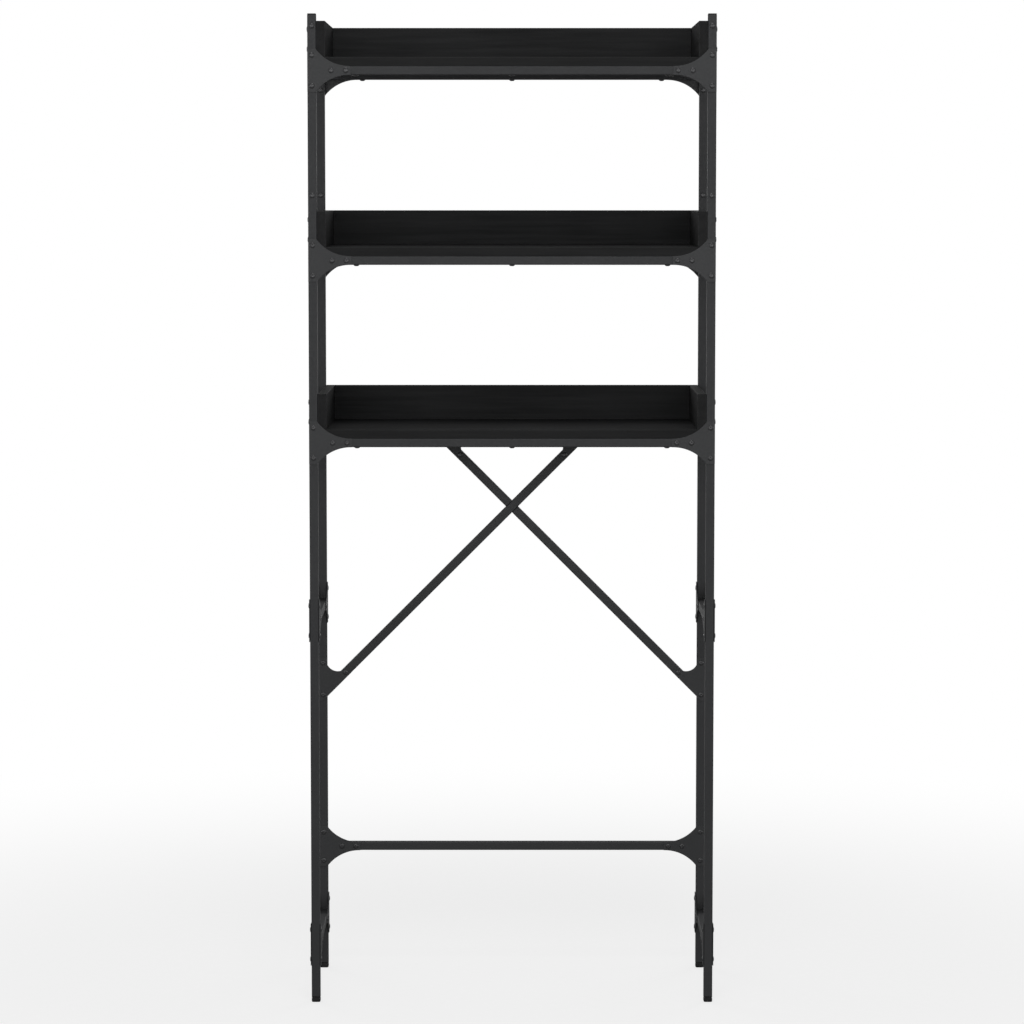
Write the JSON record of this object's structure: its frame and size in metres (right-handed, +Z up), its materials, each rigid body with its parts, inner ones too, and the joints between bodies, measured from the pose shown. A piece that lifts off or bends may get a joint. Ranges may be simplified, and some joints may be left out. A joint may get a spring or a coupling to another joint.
{
  "type": "over-toilet storage rack",
  "caption": "Free-standing bolted steel-tube rack with tray shelves above an open bay that straddles a toilet, braced by a cross at the back.",
  "frame": {"origin": "centre of the footprint on the floor", "axes": "+Z up, -Y towards the open front, +X to the right of someone in front of the rack"},
  "size_m": [0.7038, 0.3058, 1.71],
  "materials": {
    "frame_coat": "satin black powder coat on square steel tube",
    "gusset_coat": "satin black powder coat on gusset plates and screw heads",
    "board_laminate": "matt black laminate on engineered board",
    "glide_plastic": "moulded black plastic"
  },
  "bodies": {
    "root": {"bottom_side_back_left_gusset_pair": "gusset_coat", "bottom_side_back_right_gusset_pair": "gusset_coat", "bottom_side_front_left_gusset_pair": "gusset_coat", "bottom_side_front_right_gusset_pair": "gusset_coat", "bottom_side_rail_left": "frame_coat", "bottom_side_rail_right": "frame_coat", "brace_foot_gusset_left": "gusset_coat", "brace_foot_gusset_right": "gusset_coat", "brace_head_gusset_left": "gusset_coat", "brace_head_gusset_right": "gusset_coat", "brace_lower_half": "frame_coat", "brace_through_bar": "frame_coat", "brace_upper_half": "frame_coat", "foot_glide_back_left": "glide_plastic", "foot_glide_back_right": "glide_plastic", "foot_glide_front_left": "glide_plastic", "foot_glide_front_right": "glide_plastic", "low_back_left_gusset": "gusset_coat", "low_back_rail": "frame_coat", "low_back_right_gusset": "gusset_coat", "lower_shelf_back_board": "board_laminate", "lower_shelf_back_left_gusset": "gusset_coat", "lower_shelf_back_rail": "frame_coat", "lower_shelf_back_right_gusset": "gusset_coat", "lower_shelf_base_board": "board_laminate", "lower_shelf_front_left_gusset": "gusset_coat", "lower_shelf_front_rail": "frame_coat", "lower_shelf_front_right_gusset": "gusset_coat", "lower_shelf_left_board": "board_laminate", "lower_shelf_right_board": "board_laminate", "middle_shelf_back_board": "board_laminate", "middle_shelf_back_left_gusset": "gusset_coat", "middle_shelf_back_rail": "frame_coat", "middle_shelf_back_right_gusset": "gusset_coat", "middle_shelf_base_board": "board_laminate", "middle_shelf_front_left_gusset": "gusset_coat", "middle_shelf_front_rail": "frame_coat", "middle_shelf_front_right_gusset": "gusset_coat", "middle_shelf_left_board": "board_laminate", "middle_shelf_right_board": "board_laminate", "post_back_left": "frame_coat", "post_back_right": "frame_coat", "post_front_left": "frame_coat", "post_front_right": "frame_coat", "top_shelf_back_board": "board_laminate", "top_shelf_back_left_gusset": "gusset_coat", "top_shelf_back_rail": "frame_coat", "top_shelf_back_right_gusset": "gusset_coat", "top_shelf_base_board": "board_laminate", "top_shelf_front_left_gusset": "gusset_coat", "top_shelf_front_rail": "frame_coat", "top_shelf_front_right_gusset": "gusset_coat", "top_shelf_left_board": "board_laminate", "top_shelf_right_board": "board_laminate", "upper_side_back_left_gusset_pair": "gusset_coat", "upper_side_back_right_gusset_pair": "gusset_coat", "upper_side_front_left_gusset_pair": "gusset_coat", "upper_side_front_right_gusset_pair": "gusset_coat", "upper_side_rail_left": "frame_coat", "upper_side_rail_right": "frame_coat"}
  },
  "joints": []
}
